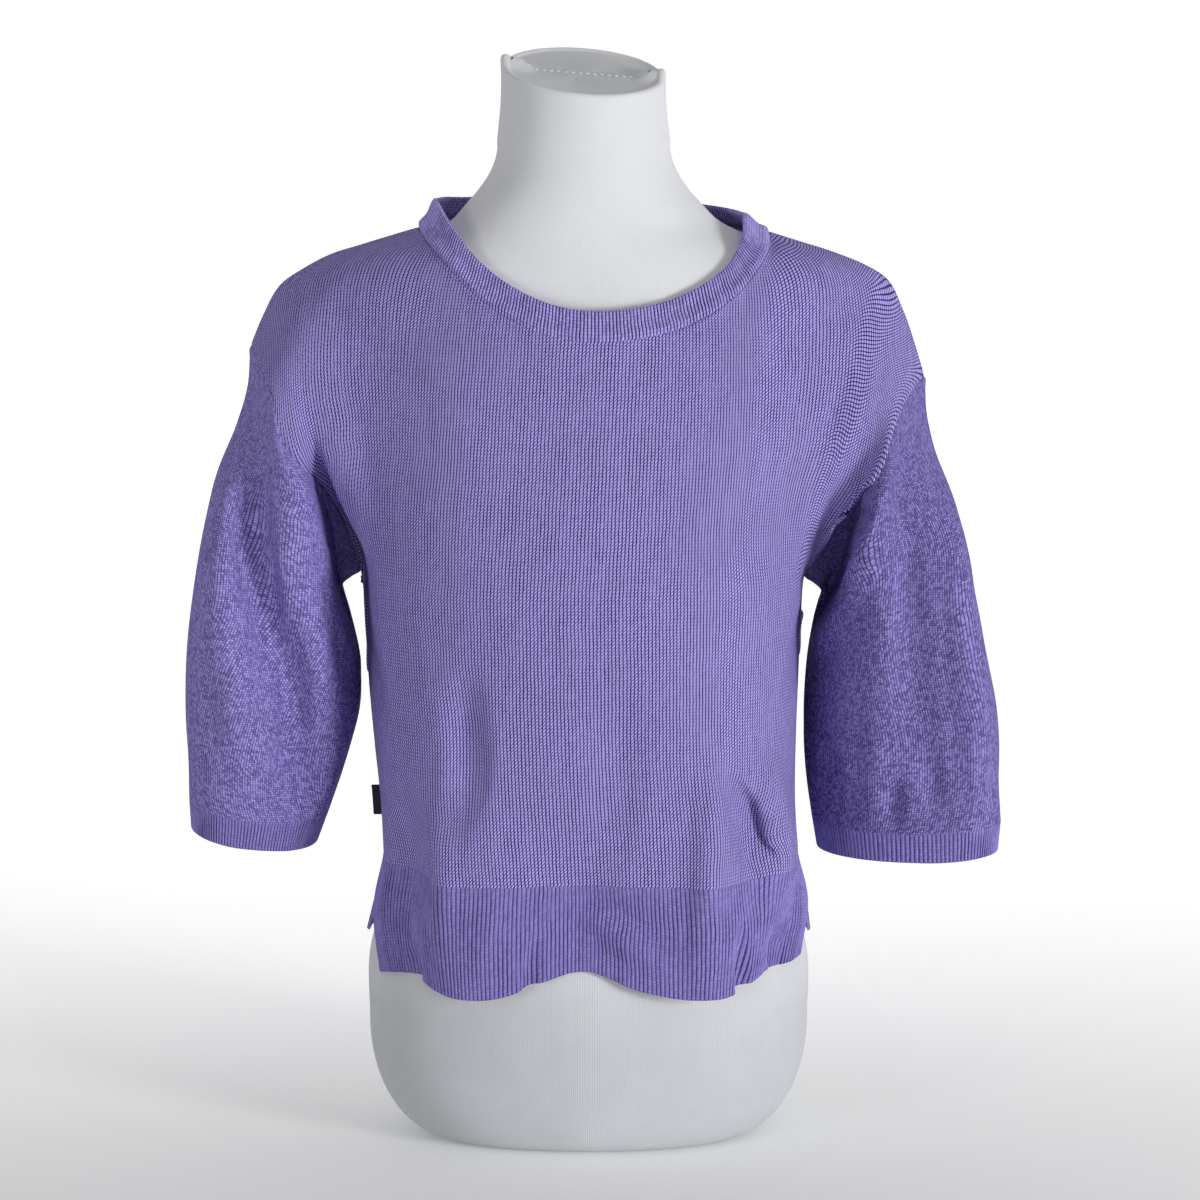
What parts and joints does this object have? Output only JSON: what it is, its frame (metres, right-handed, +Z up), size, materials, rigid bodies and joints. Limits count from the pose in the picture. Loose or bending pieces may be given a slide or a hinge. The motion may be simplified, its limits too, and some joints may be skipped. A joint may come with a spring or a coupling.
{
  "type": "sweater on dress form",
  "caption": "Cropped knit sweater with wide elbow-length sleeves, round neckband and split ribbed hem, worn by a limbless dress form.",
  "frame": {"origin": "centre of the flat underside of the dress form", "axes": "+Z up; -Y the front of the sweater; +X the wearer's left, which is the viewer's right in front"},
  "size_m": [0.5609, 0.2467, 0.7486],
  "materials": {
    "knit": "matte plain knit",
    "rib_knit": "matte ribbed knit",
    "form_cover": "smooth stretched jersey over foam",
    "label": "matte woven tape"
  },
  "bodies": {
    "root": {"form_torso": "form_cover", "front_panel": "knit", "back_panel": "knit", "sleeve_left": "knit", "sleeve_right": "knit", "hem_rib_front": "rib_knit", "hem_rib_back": "rib_knit", "cuff_rib_left": "rib_knit", "cuff_rib_right": "rib_knit", "neckband": "rib_knit", "side_label": "label"}
  },
  "joints": []
}
